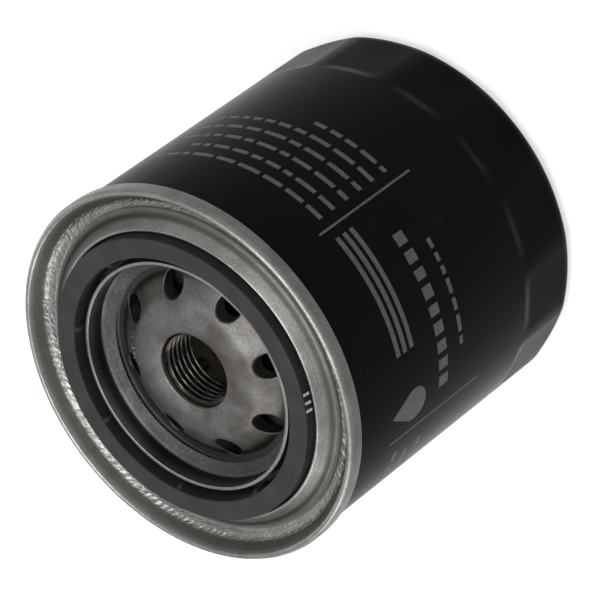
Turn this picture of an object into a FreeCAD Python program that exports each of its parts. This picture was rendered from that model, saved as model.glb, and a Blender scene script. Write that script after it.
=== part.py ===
"""Spin-on oil filter: a closed can that stands on its dome end, open end up.

+Z is the filter's axis and points out of the open end.  Z = 0 is the foot of the can, and
X = Y = 0 is the axis.  Heights that belong to the open end are measured down from the rim
level, the height at which the rolled seam is widest.
"""
import FreeCAD, Part
import math
import os

import Sketcher

OUT = "parts"

# Driving dimensions in millimetres: alias, value, meaning.
DRIVING = [
    ("can_radius", 46.36, "outside radius of the can's wall"),
    ("sheet_steel", 0.36, "sheet thickness of the can and of the seaming lid"),
    ("foot_corner", 4.5, "outside radius between the can's wall and its foot"),
    ("foot_inner", 34.0, "inside radius of the ring that the can stands on"),
    ("foot_recess", 2.5, "height of the dished centre above the foot"),
    ("flat_height", 19.2, "height of the wrench flats above the foot"),
    ("rim_level", 89.7, "height at which the seam is widest"),
    ("seam_radius", 47.36, "largest radius of the rolled seam"),
    ("seam_layer", 0.4, "radial pitch of the layers of sheet in the seam"),
    ("seam_skirt", 2.65, "depth of the seam's lower edge below the rim level"),
    ("crest_radius", 46.2, "radius of the seam's crest"),
    ("crest_rise", 1.5, "height of the seam's crest above the rim level"),
    ("valley_outer", 42.6, "outside radius of the lid's valley"),
    ("valley_inner", 40.0, "inside radius of the lid's valley"),
    ("valley_depth", 3.1, "depth of the valley below the rim level"),
    ("groove_outer", 36.3, "outside radius of the gasket groove"),
    ("groove_lip_rise", 0.3, "height of the groove's outer lip above the rim level"),
    ("groove_depth", 3.9, "depth of the groove's floor below the rim level"),
    ("flange_outer", 29.25, "outside radius of the lid's folded inner flange"),
    ("flange_inner", 28.35, "inside radius of the folded inner flange"),
    ("flange_rise", 0.82, "height of the folded flange above the rim level"),
    ("lid_hole", 25.3, "radius of the hole in the middle of the lid"),
    ("lid_hole_depth", 5.5, "depth of the hole's edge below the rim level"),
    ("gasket_outer", 36.0, "outside radius of the sealing gasket"),
    ("gasket_inner", 31.0, "inside radius of the sealing gasket"),
    ("gasket_rise", 2.8, "height of the gasket's face above the rim level"),
    ("gasket_edge", 0.35, "rounding of the gasket's edges"),
    ("nib_reach", 0.9, "how far the gasket's inner nibs stand out"),
    ("nib_width", 1.0, "width of a gasket nib"),
    ("plate_radius", 38.5, "outside radius of the tapping plate"),
    ("plate_sheet", 2.8, "thickness of the tapping plate"),
    ("plate_depth", 4.4, "depth of the plate's outer face below the rim level"),
    ("trough_radius", 24.4, "radius of the trough around the plate's dome"),
    ("trough_depth", 6.9, "depth of the trough below the rim level"),
    ("dome_depth", 1.75, "depth of the dome's top below the rim level"),
    ("dome_radius", 12.0, "radius at which the dome turns into the neck's mouth"),
    ("mouth_radius", 9.5, "radius of the neck's mouth"),
    ("thread_minor", 8.75, "minor radius of the 3/4-16 thread, the wall of the bore"),
    ("neck_radius", 11.2, "outside radius of the threaded neck"),
    ("neck_depth", 13.2, "depth of the neck's inner end below the rim level"),
    ("inlet_radius", 3.0, "radius of an oil inlet hole"),
    ("inlet_circle", 20.85, "radius of the circle of inlet holes"),
    ("cap_radius", 38.5, "outside radius of the element's end caps"),
    ("cap_sheet", 0.4, "sheet thickness of the end caps"),
    ("cap_rim", 4.0, "height of an end cap's rim"),
    ("cap_top_level", 77.0, "height of the upper end cap's top"),
    ("cap_low_level", 13.6, "height of the lower end cap's underside"),
    ("cap_hole", 12.4, "radius of the upper end cap's hole"),
    ("port_hole", 13.4, "radius of the lower end cap's hole"),
    ("potting", 1.6, "thickness of the adhesive under each end cap"),
    ("paper_inner", 16.9, "inside radius of the pleated paper"),
    ("paper_outer", 37.3, "outside radius of the pleated paper"),
    ("paper_sheet", 0.5, "thickness of the filter paper"),
    ("fold_outer", 2.2, "width of a pleat at its outer fold"),
    ("fold_inner", 0.5, "gap between two pleats at their inner fold"),
    ("tube_radius", 16.0, "outside radius of the centre tube"),
    ("tube_wall", 0.4, "wall thickness of the centre tube"),
    ("tube_hole", 2.0, "radius of a hole in the centre tube"),
    ("tube_pitch", 6.5, "height from one row of holes to the next"),
    ("clip_width", 3.1, "width of the clip over the paper's joint"),
    ("clip_depth", 3.4, "radial depth of the clip"),
    ("clip_sheet", 0.35, "sheet thickness of the clip"),
    ("hub_inner", 11.3, "inside radius of the anti-drain valve's hub"),
    ("hub_outer", 14.6, "outside radius of the anti-drain valve's hub"),
    ("hub_height", 1.6, "height of the hub"),
    ("lip_inner", 14.9, "inside radius of the anti-drain lip"),
    ("lip_outer", 26.2, "outside radius of the anti-drain lip"),
    ("lip_sheet", 1.0, "thickness of the anti-drain lip"),
    ("lip_stand", 1.45, "height of the lip's root above the upper end cap"),
    ("lip_gap", 0.12, "film between the lip and the plate"),
    ("seat_port", 7.5, "radius of the bypass port"),
    ("seat_radius", 14.6, "outside radius of the bypass seat's flange"),
    ("seat_sheet", 0.6, "thickness of the bypass seat"),
    ("seat_lip", 1.4, "height of the seat's sealing lip above the cap"),
    ("disc_radius", 10.6, "radius of the bypass disc"),
    ("disc_sheet", 0.8, "thickness of the bypass disc"),
    ("washer_outer", 10.0, "outside radius of the bypass disc's rubber washer"),
    ("washer_inner", 3.0, "inside radius of the washer"),
    ("washer_sheet", 1.2, "thickness of the washer"),
    ("valve_gap", 0.1, "film between the washer and its seat"),
    ("stem_radius", 1.5, "radius of the bypass valve's guide stem"),
    ("stem_clearance", 0.08, "radial clearance of the stem in the cage"),
    ("cage_radius", 12.6, "outside radius of the bypass cage"),
    ("cage_sheet", 0.6, "sheet thickness of the bypass cage"),
    ("cage_height", 13.4, "height of the bypass cage above the seat"),
    ("window_width", 11.0, "width of a window in the bypass cage"),
    ("valve_wire", 0.8, "wire thickness of the bypass spring"),
    ("valve_coil", 6.0, "mean radius of the bypass spring"),
    ("support_wire", 1.8, "wire thickness of the element's support spring"),
    ("support_coil", 17.0, "mean radius of the support spring"),
    ("support_seat_outer", 20.0, "outside radius of the support spring's seat"),
    ("support_seat_sheet", 0.8, "thickness of the support spring's seat"),
]

FLATS = 15                 # wrench flats round the dome end
FLAT_TURN = 19.0           # degrees from +X to the first crease
INLETS = 8
INLET_TURN = 18.8          # degrees from +X to the first inlet hole
NIBS = 8
NIB_TURN = -5.5            # degrees from +X to the first gasket nib
PLEATS = 50
TUBE_COLUMNS = 8
TUBE_ROWS = 9
CAGE_WINDOWS = 4
VALVE_TURNS = 5
SUPPORT_TURNS = 3

doc = FreeCAD.newDocument("oil_filter")
sheet = doc.addObject("Spreadsheet::Sheet", "Sizes")


def fill_sheet():
    """Write every driving dimension into the spreadsheet and give its cell an alias."""
    for row, (alias, value, meaning) in enumerate(DRIVING, start=1):
        sheet.set(f"A{row}", meaning)
        sheet.set(f"B{row}", str(value))
        sheet.setAlias(f"B{row}", alias)
    doc.recompute()


def number(formula):
    """The value of a formula on the sheet's aliases, in millimetres."""
    return float(sheet.evalExpression(formula))


def below_rim(depth):
    """The formula of a height that lies `depth` below the rim level."""
    return f"Sizes.rim_level - ({depth})"


# ---------------------------------------------------------------- sketches

def arc_between(corner, before, after, radius):
    """Tangent points and arc that round `corner` between its two neighbours."""
    towards_before = (before - corner).normalize()
    towards_after = (after - corner).normalize()
    half = towards_before.getAngle(towards_after) / 2
    reach = radius / math.tan(half)
    start = corner + towards_before * reach
    end = corner + towards_after * reach
    centre = corner + (towards_before + towards_after).normalize() * (radius / math.sin(half))
    middle = centre + (corner - centre).normalize() * radius
    return start, end, Part.Arc(start, middle, end)


def pin_point(sketch, geometry, place, x_formula, z_formula):
    """Tie one sketch point to its formulas, or to an axis where a formula is zero."""
    for kind, axis, formula in (("DistanceX", -2, x_formula), ("DistanceY", -1, z_formula)):
        if formula == "0":
            sketch.addConstraint(Sketcher.Constraint("PointOnObject", geometry, place, axis))
        else:
            index = sketch.addConstraint(
                Sketcher.Constraint(kind, -1, 1, geometry, place, number(formula)))
            sketch.setExpression(f"Constraints[{index}]", formula)


def draw_outline(sketch, corners, closed):
    """Draw straight runs through the corners, each (x, z) or (x, z, rounding) as formulas.

    A rounded corner keeps a construction point where its two runs would meet.
    """
    count = len(corners)
    points = [FreeCAD.Vector(number(c[0]), number(c[1]), 0) for c in corners]
    leave, arrive, arcs = list(points), list(points), {}
    for i, corner in enumerate(corners):
        if len(corner) == 3:
            arrive[i], leave[i], arcs[i] = arc_between(
                points[i], points[i - 1], points[(i + 1) % count], number(corner[2]))
    runs = count if closed else count - 1
    lines = [sketch.addGeometry(Part.LineSegment(leave[i], arrive[(i + 1) % count]))
             for i in range(runs)]
    for i, corner in enumerate(corners):
        line_in = lines[i - 1] if (closed or i > 0) else None
        line_out = lines[i] if (closed or i < runs) else None
        if i in arcs:
            round_corner(sketch, corner, points[i], arcs[i], line_in, line_out, arrive[i])
        elif line_out is None:
            pin_point(sketch, line_in, 2, corner[0], corner[1])
        else:
            if line_in is not None:
                sketch.addConstraint(Sketcher.Constraint("Coincident", line_in, 2, line_out, 1))
            pin_point(sketch, line_out, 1, corner[0], corner[1])


def round_corner(sketch, corner, point, arc, line_in, line_out, arrive):
    """Join two runs with a tangent arc whose radius is bound to the corner's rounding."""
    mark = sketch.addGeometry(Part.Point(point), True)
    pin_point(sketch, mark, 1, corner[0], corner[1])
    sketch.addConstraint(Sketcher.Constraint("PointOnObject", mark, 1, line_in))
    sketch.addConstraint(Sketcher.Constraint("PointOnObject", mark, 1, line_out))
    bend = sketch.addGeometry(arc)
    starts_here = sketch.getPoint(bend, 1).distanceToPoint(arrive) < 1e-6
    first, last = (1, 2) if starts_here else (2, 1)
    sketch.addConstraint(Sketcher.Constraint("Tangent", line_in, 2, bend, first))
    sketch.addConstraint(Sketcher.Constraint("Tangent", line_out, 1, bend, last))
    index = sketch.addConstraint(Sketcher.Constraint("Radius", bend, number(corner[2])))
    sketch.setExpression(f"Constraints[{index}]", corner[2])


def plane_of(body, role):
    """The body's own origin plane with the given role."""
    return next(f for f in body.Origin.OriginFeatures if f.Role == role)


def sketch_in(body, name, role):
    """A sketch of the body's own, flat on one of its origin planes."""
    sketch = body.newObject("Sketcher::SketchObject", name)
    sketch.AttachmentSupport = (plane_of(body, role), [""])
    sketch.MapMode = "FlatFace"
    return sketch


# ---------------------------------------------------------------- ways of making a piece

def turned(label, corners):
    """A solid of revolution whose half section is the closed outline `corners`."""
    body = doc.addObject("PartDesign::Body", label)
    body.Label = label
    sketch = sketch_in(body, f"{label}_section", "XZ_Plane")
    draw_outline(sketch, corners, closed=True)
    turn = body.newObject("PartDesign::Revolution", f"{label}_turn")
    turn.Profile = sketch
    turn.ReferenceAxis = (sketch, ["V_Axis"])
    turn.Angle = 360
    doc.recompute()
    return body


def pressed(label, corners, thickness="Sizes.sheet_steel"):
    """A round sheet-metal piece: the line of its outer face and the sheet behind that line."""
    line = doc.addObject("Sketcher::SketchObject", f"{label}_line")
    line.Placement = FreeCAD.Placement(
        FreeCAD.Vector(), FreeCAD.Rotation(FreeCAD.Vector(1, 0, 0), 90))
    draw_outline(line, corners, closed=False)
    strip = doc.addObject("Part::Offset2D", f"{label}_strip")
    strip.Source = line
    strip.setExpression("Value", thickness)
    strip.Mode = "Skin"
    strip.Join = "Intersection"
    strip.Fill = True
    spun = doc.addObject("Part::Revolution", label)
    spun.Label = label
    spun.Source = strip
    spun.Axis = FreeCAD.Vector(0, 0, 1)
    spun.Angle = 360
    spun.Solid = True
    doc.recompute()
    return spun


def ring(label, inner, outer, low, high):
    """A plain turned ring, all four sizes as formulas."""
    return turned(label, [(inner, low), (outer, low), (outer, high), (inner, high)])


def pierce(body, name, centre_x, radius, count, turn):
    """Drill a circle of round holes through a body, straight along the axis."""
    sketch = sketch_in(body, f"{name}_hole", "XY_Plane")
    angle = math.radians(turn)
    place = FreeCAD.Vector(number(centre_x) * math.cos(angle), number(centre_x) * math.sin(angle), 0)
    hole = sketch.addGeometry(Part.Circle(place, FreeCAD.Vector(0, 0, 1), number(radius)))
    for kind, formula in (("DistanceX", f"({centre_x}) * cos({turn} deg)"),
                          ("DistanceY", f"({centre_x}) * sin({turn} deg)")):
        index = sketch.addConstraint(Sketcher.Constraint(kind, -1, 1, hole, 3, number(formula)))
        sketch.setExpression(f"Constraints[{index}]", formula)
    index = sketch.addConstraint(Sketcher.Constraint("Radius", hole, number(radius)))
    sketch.setExpression(f"Constraints[{index}]", radius)
    cut = body.newObject("PartDesign::Pocket", f"{name}_cut")
    cut.Profile = sketch
    cut.Type = "ThroughAll"
    cut.Reversed = True
    repeat_round(body, cut, sketch, name, count)


def repeat_round(body, feature, sketch, name, count):
    """Repeat one feature round the axis and make the pattern the body's result."""
    doc.recompute()
    pattern = body.newObject("PartDesign::PolarPattern", f"{name}_pattern")
    pattern.Originals = [feature]
    pattern.Axis = (sketch, ["N_Axis"])
    pattern.Angle = 360
    pattern.Occurrences = count
    body.Tip = pattern
    doc.recompute()


def rectangle(sketch, low_x, high_x, half_width, turn=0.0):
    """A rectangle along the direction `turn`, from low_x to high_x; all sizes as formulas."""
    spin = FreeCAD.Rotation(FreeCAD.Vector(0, 0, 1), turn)
    formulas = [(low_x, f"-({half_width})"), (high_x, f"-({half_width})"),
                (high_x, half_width), (low_x, half_width)]
    points = [spin.multVec(FreeCAD.Vector(number(a), number(b), 0)) for a, b in formulas]
    sides = [sketch.addGeometry(Part.LineSegment(points[i], points[(i + 1) % 4]))
             for i in range(4)]
    for i, (along, across) in enumerate(formulas):
        sketch.addConstraint(Sketcher.Constraint("Coincident", sides[i - 1], 2, sides[i], 1))
        x_formula = f"({along}) * cos({turn} deg) - ({across}) * sin({turn} deg)"
        z_formula = f"({along}) * sin({turn} deg) + ({across}) * cos({turn} deg)"
        pin_point(sketch, sides[i], 1, x_formula, z_formula)


def primitive(kind, name, base="0", **sizes):
    """A Part primitive with its sizes bound to formulas, lifted to the height `base`."""
    thing = doc.addObject(f"Part::{kind}", name)
    for prop, formula in sizes.items():
        thing.setExpression(prop, formula)
    thing.setExpression("Placement.Base.z", f"({base}) * 1 mm")
    return thing


def boolean(kind, label, base, tool):
    """A Part boolean of two objects."""
    result = doc.addObject(f"Part::{kind}", label)
    result.Label = label
    result.Base = base
    result.Tool = tool
    doc.recompute()
    return result


def coil(label, radius, wire, turns, low, high):
    """A coil spring whose wire lies between the heights `low` and `high`."""
    body = doc.addObject("PartDesign::Body", label)
    body.Label = label
    sketch = sketch_in(body, f"{label}_wire", "XZ_Plane")
    start = f"({low}) + ({wire}) / 2"
    centre = FreeCAD.Vector(number(radius), number(start), 0)
    section = sketch.addGeometry(Part.Circle(centre, FreeCAD.Vector(0, 0, 1), number(wire) / 2))
    pin_point(sketch, section, 3, radius, start)
    index = sketch.addConstraint(Sketcher.Constraint("Diameter", section, number(wire)))
    sketch.setExpression(f"Constraints[{index}]", wire)
    rise = f"({high}) - ({low}) - ({wire})"
    winding = body.newObject("PartDesign::AdditiveHelix", f"{label}_winding")
    winding.Profile = sketch
    winding.ReferenceAxis = (sketch, ["V_Axis"])
    winding.Mode = "pitch-height-angle"
    winding.setExpression("Height", rise)
    winding.setExpression("Pitch", f"({rise}) / {turns}")
    doc.recompute()
    return body


# ---------------------------------------------------------------- can and lid

NECK = "Sizes.seam_radius - 3 * Sizes.seam_layer"
CAN_TOP = below_rim("0.5")


def can_form(label, inset):
    """The can's solid form up to its open end, every face drawn in by `inset`."""
    return turned(label, [
        ("0", f"Sizes.foot_recess + {inset}"),
        ("Sizes.foot_inner - 1", f"Sizes.foot_recess + {inset}", "0.8"),
        (f"Sizes.foot_inner + 1 + {inset} / 2", inset, "0.8"),
        (f"Sizes.can_radius - {inset}", inset, f"Sizes.foot_corner - {inset}"),
        (f"Sizes.can_radius - {inset}", below_rim("Sizes.seam_skirt + 1.2")),
        (f"{NECK} - {inset}", below_rim("Sizes.seam_skirt + 0.3")),
        (f"{NECK} - {inset}", f"{CAN_TOP} + {inset}"),
        ("0", f"{CAN_TOP} + {inset}"),
    ])


def can_hook():
    """The can's edge inside the seam, turned outwards and down."""
    hook = "Sizes.seam_radius - 2 * Sizes.seam_layer + 0.04"
    end = below_rim("Sizes.seam_skirt - 0.5")
    return turned("can_hook", [
        (f"{NECK} - Sizes.sheet_steel", f"{CAN_TOP} - 1"),
        (NECK, f"{CAN_TOP} - 1"),
        (NECK, CAN_TOP),
        (hook, CAN_TOP),
        (hook, end),
        (f"{hook} + Sizes.sheet_steel", end),
        (f"{hook} + Sizes.sheet_steel", f"{CAN_TOP} + Sizes.sheet_steel", "0.3"),
        (f"{NECK} - Sizes.sheet_steel", f"{CAN_TOP} + Sizes.sheet_steel", "0.3"),
    ])


def wrench_form(name, inset):
    """The can's envelope: a prism with the wrench flats below, a cylinder above.

    The prism keeps the round wall's length, so its corners stand out by as much as its
    flats lie in, and the round blank cuts the corners back to the can's radius.
    """
    grown = f"(Sizes.can_radius - ({inset})) * {(math.pi / FLATS) / math.sin(math.pi / FLATS):.6f}"
    prism = primitive("Prism", f"{name}_prism", Circumradius=grown,
                      Height=f"Sizes.flat_height + ({inset})")
    prism.Polygon = FLATS
    prism.setExpression("Placement.Rotation.Angle", f"{FLAT_TURN} deg")
    upper = primitive("Cylinder", f"{name}_upper", base="Sizes.flat_height",
                      Radius="Sizes.seam_radius + 1", Height="Sizes.rim_level")
    both = doc.addObject("Part::Fuse", f"{name}_form")
    both.Base = prism
    both.Tool = upper
    return both


def make_can():
    """Deep-drawn can: dished base on a ring foot, wrench flats, seam hook at the top."""
    outside = boolean("Common", "can_outside", can_form("can_solid", "0"),
                      wrench_form("outside", "0"))
    cavity = boolean("Common", "can_cavity", can_form("can_hollow", "Sizes.sheet_steel"),
                     wrench_form("cavity", "Sizes.sheet_steel"))
    shell = boolean("Cut", "can_shell", outside, cavity)
    return boolean("Fuse", "can", shell, can_hook())


def make_seaming_lid():
    """Thin lid: seam roll, valley, gasket groove, folded inner flange and inner margin."""
    hook = "Sizes.seam_radius - 3 * Sizes.seam_layer + 0.04"
    lip = below_rim("-Sizes.groove_lip_rise")
    fold = below_rim("-Sizes.flange_rise")
    floor = below_rim("Sizes.groove_depth")
    return pressed("seaming_lid", [
        (hook, below_rim("0.9")),
        (hook, below_rim("Sizes.seam_skirt")),
        ("Sizes.seam_radius", below_rim("Sizes.seam_skirt"), "0.38"),
        ("Sizes.seam_radius", below_rim("-0.6"), "1.0"),
        ("Sizes.crest_radius", below_rim("-Sizes.crest_rise - 0.28"), "0.6"),
        ("Sizes.valley_outer + 0.7", below_rim("Sizes.valley_depth"), "1.0"),
        ("Sizes.valley_inner", below_rim("Sizes.valley_depth"), "1.5"),
        ("Sizes.groove_outer + 0.7", lip, "0.5"),
        ("Sizes.groove_outer", lip, "0.3"),
        ("Sizes.groove_outer", floor, "0.3"),
        ("Sizes.flange_outer", floor, "0.3"),
        ("Sizes.flange_outer", fold, "0.44"),
        ("Sizes.flange_inner", fold, "0.44"),
        ("Sizes.flange_inner", floor, "0.8"),
        ("Sizes.lid_hole", below_rim("Sizes.lid_hole_depth")),
    ])


def make_seam_sealant():
    """Bead of sealing compound under the seam's crest."""
    return ring("seam_sealant", "Sizes.crest_radius - 0.15", "Sizes.crest_radius + 0.35",
                below_rim("0.08"), below_rim("-Sizes.crest_rise + 0.95"))


def make_gasket():
    """Square-section sealing ring with small nibs that grip the lid's flange."""
    low, high = below_rim("Sizes.groove_depth - 0.05"), below_rim("-Sizes.gasket_rise")
    gasket = turned("gasket", [
        ("Sizes.gasket_inner", low, "Sizes.gasket_edge"),
        ("Sizes.gasket_outer", low, "Sizes.gasket_edge"),
        ("Sizes.gasket_outer", high, "Sizes.gasket_edge"),
        ("Sizes.gasket_inner", high, "Sizes.gasket_edge"),
    ])
    sketch = sketch_in(gasket, "nib_foot", "XY_Plane")
    rectangle(sketch, "Sizes.gasket_inner - Sizes.nib_reach", "Sizes.gasket_inner + 0.5",
              "Sizes.nib_width / 2", NIB_TURN)
    sketch.setExpression("AttachmentOffset.Base.z",
                         "(" + below_rim("Sizes.groove_depth - 1") + ") * 1 mm")
    nib = gasket.newObject("PartDesign::Pad", "nib_pad")
    nib.Profile = sketch
    nib.setExpression("Length", "Sizes.gasket_rise + Sizes.groove_depth - 2")
    repeat_round(gasket, nib, sketch, "nib", NIBS)
    return gasket


# ---------------------------------------------------------------- tapping plate

def make_tapping_plate():
    """Thick domed plate with an extruded, threaded neck and a circle of oil inlets."""
    under = "Sizes.plate_sheet"
    plate = turned("tapping_plate", [
        ("Sizes.thread_minor", below_rim("Sizes.neck_depth - 0.6")),
        ("Sizes.thread_minor", below_rim("3.6"), "0.8"),
        ("Sizes.mouth_radius", below_rim("2.3"), "0.8"),
        ("Sizes.dome_radius", below_rim("Sizes.dome_depth"), "4"),
        ("Sizes.inlet_circle - 3.5", below_rim("2.6"), "6"),
        ("Sizes.trough_radius - 0.6", below_rim("Sizes.trough_depth"), "1.0"),
        ("Sizes.trough_radius + 0.8", below_rim("Sizes.trough_depth - 0.1"), "0.8"),
        ("Sizes.flange_inner + 0.6", below_rim("Sizes.plate_depth + 0.06"), "2"),
        ("Sizes.plate_radius", below_rim("Sizes.plate_depth")),
        ("Sizes.plate_radius", below_rim(f"Sizes.plate_depth + {under}")),
        ("Sizes.flange_outer + 1.5", below_rim(f"Sizes.plate_depth + {under}"), "3"),
        ("Sizes.trough_radius + 0.6", below_rim(f"Sizes.trough_depth + {under}"), "2"),
        ("Sizes.trough_radius - 1.4", below_rim(f"Sizes.trough_depth + {under}"), "2"),
        ("Sizes.inlet_circle - 4.5", below_rim(f"2.6 + {under}"), "4"),
        ("Sizes.neck_radius", below_rim(f"Sizes.dome_depth + {under} + 0.4"), "1.5"),
        ("Sizes.neck_radius", below_rim("Sizes.neck_depth")),
        ("Sizes.thread_minor + 0.6", below_rim("Sizes.neck_depth")),
    ])
    pierce(plate, "inlet", "Sizes.inlet_circle", "Sizes.inlet_radius", INLETS, INLET_TURN)
    return plate


# ---------------------------------------------------------------- anti-drain valve

def make_drain_valve():
    """Rubber anti-drain valve: a hub round the neck and a coned lip under the plate."""
    ring("drain_valve_hub", "Sizes.hub_inner", "Sizes.hub_outer",
         "Sizes.cap_top_level + 0.05", "Sizes.cap_top_level + Sizes.hub_height")
    contact = below_rim("Sizes.trough_depth + Sizes.plate_sheet + Sizes.lip_gap")
    root = "Sizes.cap_top_level + Sizes.lip_stand"
    turned("drain_valve_lip", [
        ("Sizes.lip_inner", root),
        ("Sizes.lip_outer - 0.4", f"{contact} - Sizes.lip_sheet"),
        ("Sizes.lip_outer", f"{contact} - Sizes.lip_sheet + 0.4"),
        ("Sizes.lip_outer", contact),
        ("Sizes.lip_outer - 1.6", contact),
        ("Sizes.lip_inner", f"{root} + Sizes.lip_sheet"),
    ])


# ---------------------------------------------------------------- filter element

def make_end_caps():
    """Two sheet-steel end caps with rims, and the adhesive that fills them."""
    top, low = "Sizes.cap_top_level", "Sizes.cap_low_level"
    pressed("upper_end_cap", [
        ("Sizes.cap_radius", f"{top} - Sizes.cap_rim"),
        ("Sizes.cap_radius", top, "0.8"),
        ("Sizes.cap_hole", top),
    ], "Sizes.cap_sheet")
    pressed("lower_end_cap", [
        ("Sizes.port_hole", low),
        ("Sizes.cap_radius", low, "0.8"),
        ("Sizes.cap_radius", f"{low} + Sizes.cap_rim"),
    ], "Sizes.cap_sheet")
    inner, outer = "Sizes.tube_radius + 0.05", "Sizes.cap_radius - Sizes.cap_sheet - 0.5"
    ring("upper_potting", inner, outer, f"{top} - Sizes.cap_sheet - Sizes.potting",
         f"{top} - Sizes.cap_sheet")
    ring("lower_potting", inner, outer, f"{low} + Sizes.cap_sheet",
         f"{low} + Sizes.cap_sheet + Sizes.potting")


def pleat_loop(outer, outer_half, inner, inner_half, level):
    """Closed wire round all pleats; each fold is a short flat, wide by twice its half width."""
    points = []
    for fold in range(2 * PLEATS):
        radius, half = (outer, outer_half) if fold % 2 == 0 else (inner, inner_half)
        for side in (-1, 1):
            angle = fold * math.pi / PLEATS + side * half / radius
            points.append(FreeCAD.Vector(radius * math.cos(angle), radius * math.sin(angle), level))
    return Part.makePolygon(points + points[:1])


def make_filter_paper():
    """Pleated paper, drawn as one closed band with a fold at each end of every pleat."""
    low = number("Sizes.cap_low_level + Sizes.cap_sheet + Sizes.potting")
    high = number("Sizes.cap_top_level - Sizes.cap_sheet - Sizes.potting")
    outer, inner = number("Sizes.paper_outer"), number("Sizes.paper_inner")
    outer_half, inner_half = number("Sizes.fold_outer / 2"), number("Sizes.fold_inner / 2")
    ply = number("Sizes.paper_sheet")
    outside = pleat_loop(outer, outer_half, inner, inner_half, low)
    inside = pleat_loop(outer - ply, outer_half - ply, inner - ply, inner_half + ply, low)
    paper = doc.addObject("Part::Feature", "filter_paper")
    paper.Label = "filter_paper"
    section = Part.Face(outside).cut(Part.Face(inside))
    paper.Shape = section.extrude(FreeCAD.Vector(0, 0, high - low))
    return paper


def make_centre_tube():
    """Perforated tube that holds the paper up from inside."""
    low, high = "Sizes.cap_low_level + Sizes.cap_sheet + 0.05", "Sizes.cap_top_level - Sizes.cap_sheet"
    tube = ring("tube_blank", "Sizes.tube_radius - Sizes.tube_wall", "Sizes.tube_radius", low, high)
    drills = []
    for column in range(TUBE_COLUMNS // 2):
        for row in range(TUBE_ROWS):
            drill = doc.addObject("Part::Cylinder", f"tube_drill_{column}_{row}")
            drill.setExpression("Radius", "Sizes.tube_hole")
            drill.setExpression("Height", "4 * Sizes.tube_radius")
            level = number(f"Sizes.cap_low_level + {row + 0.8} * Sizes.tube_pitch")
            turn = FreeCAD.Rotation(FreeCAD.Vector(0, 0, 1), 360 * column / TUBE_COLUMNS)
            tilt = turn.multiply(FreeCAD.Rotation(FreeCAD.Vector(0, 1, 0), 90))
            start = tilt.multVec(FreeCAD.Vector(0, 0, -number("2 * Sizes.tube_radius")))
            drill.Placement = FreeCAD.Placement(start + FreeCAD.Vector(0, 0, level), tilt)
            drills.append(drill)
    holes = doc.addObject("Part::MultiFuse", "tube_holes")
    holes.Shapes = drills
    return boolean("Cut", "centre_tube", tube, holes)


def make_pleat_clip():
    """Folded strip that holds the two ends of the paper together."""
    low = "Sizes.cap_low_level + Sizes.cap_sheet + Sizes.potting + 0.5"
    height = "Sizes.cap_top_level - Sizes.cap_low_level - 2 * Sizes.cap_sheet - 2 * Sizes.potting - 1"
    outside = primitive("Box", "clip_outside", low, Length="Sizes.clip_depth",
                        Width="Sizes.clip_width", Height=height)
    outside.setExpression("Placement.Base.x", "(Sizes.paper_outer + Sizes.clip_sheet + 0.1"
                                              " - Sizes.clip_depth) * 1 mm")
    outside.setExpression("Placement.Base.y", "-Sizes.clip_width / 2 * 1 mm")
    inside = primitive("Box", "clip_inside", low, Length="Sizes.clip_depth",
                       Width="Sizes.clip_width - 2 * Sizes.clip_sheet", Height=height)
    inside.setExpression("Placement.Base.x", "(Sizes.paper_outer + 0.1 - Sizes.clip_depth) * 1 mm")
    inside.setExpression("Placement.Base.y", "-(Sizes.clip_width / 2 - Sizes.clip_sheet) * 1 mm")
    return boolean("Cut", "pleat_clip", outside, inside)


# ---------------------------------------------------------------- bypass valve

CAP_FACE = "Sizes.cap_low_level + Sizes.cap_sheet"
WASHER_LOW = f"{CAP_FACE} + Sizes.seat_lip + Sizes.valve_gap"
DISC_LOW = f"{WASHER_LOW} + Sizes.washer_sheet"
CAGE_LOW = f"{CAP_FACE} + Sizes.seat_sheet + 0.05"
CAGE_TOP = f"{CAGE_LOW} + Sizes.cage_height"


def make_bypass_valve():
    """Relief valve in the lower end cap: seat, washer, disc, stem, spring and cage."""
    turned("bypass_seat", [
        ("Sizes.seat_port", f"{CAP_FACE} - 0.9"),
        ("Sizes.port_hole - 0.1", f"{CAP_FACE} - 0.9"),
        ("Sizes.port_hole - 0.1", CAP_FACE + " + 0.02"),
        ("Sizes.seat_radius", CAP_FACE + " + 0.02"),
        ("Sizes.seat_radius", f"{CAP_FACE} + Sizes.seat_sheet"),
        ("Sizes.seat_port + 1.4", f"{CAP_FACE} + Sizes.seat_sheet"),
        ("Sizes.seat_port + 0.9", f"{CAP_FACE} + Sizes.seat_lip"),
        ("Sizes.seat_port", f"{CAP_FACE} + Sizes.seat_lip"),
    ])
    ring("bypass_seal", "Sizes.washer_inner", "Sizes.washer_outer", WASHER_LOW, DISC_LOW)
    ring("bypass_disc", "Sizes.stem_radius", "Sizes.disc_radius", DISC_LOW,
         f"{DISC_LOW} + Sizes.disc_sheet")
    turned("bypass_stem", [
        ("0", f"{DISC_LOW} - 0.5"),
        ("Sizes.washer_inner - 0.2", f"{DISC_LOW} - 0.5"),
        ("Sizes.washer_inner - 0.2", DISC_LOW),
        ("Sizes.stem_radius", DISC_LOW),
        ("Sizes.stem_radius", f"{CAGE_TOP} + 1.5"),
        ("0", f"{CAGE_TOP} + 1.5"),
    ])
    make_bypass_cage()
    coil("bypass_spring", "Sizes.valve_coil", "Sizes.valve_wire", VALVE_TURNS,
         f"{DISC_LOW} + Sizes.disc_sheet + 0.02", f"{CAGE_TOP} - Sizes.cage_sheet - 0.02")


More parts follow.
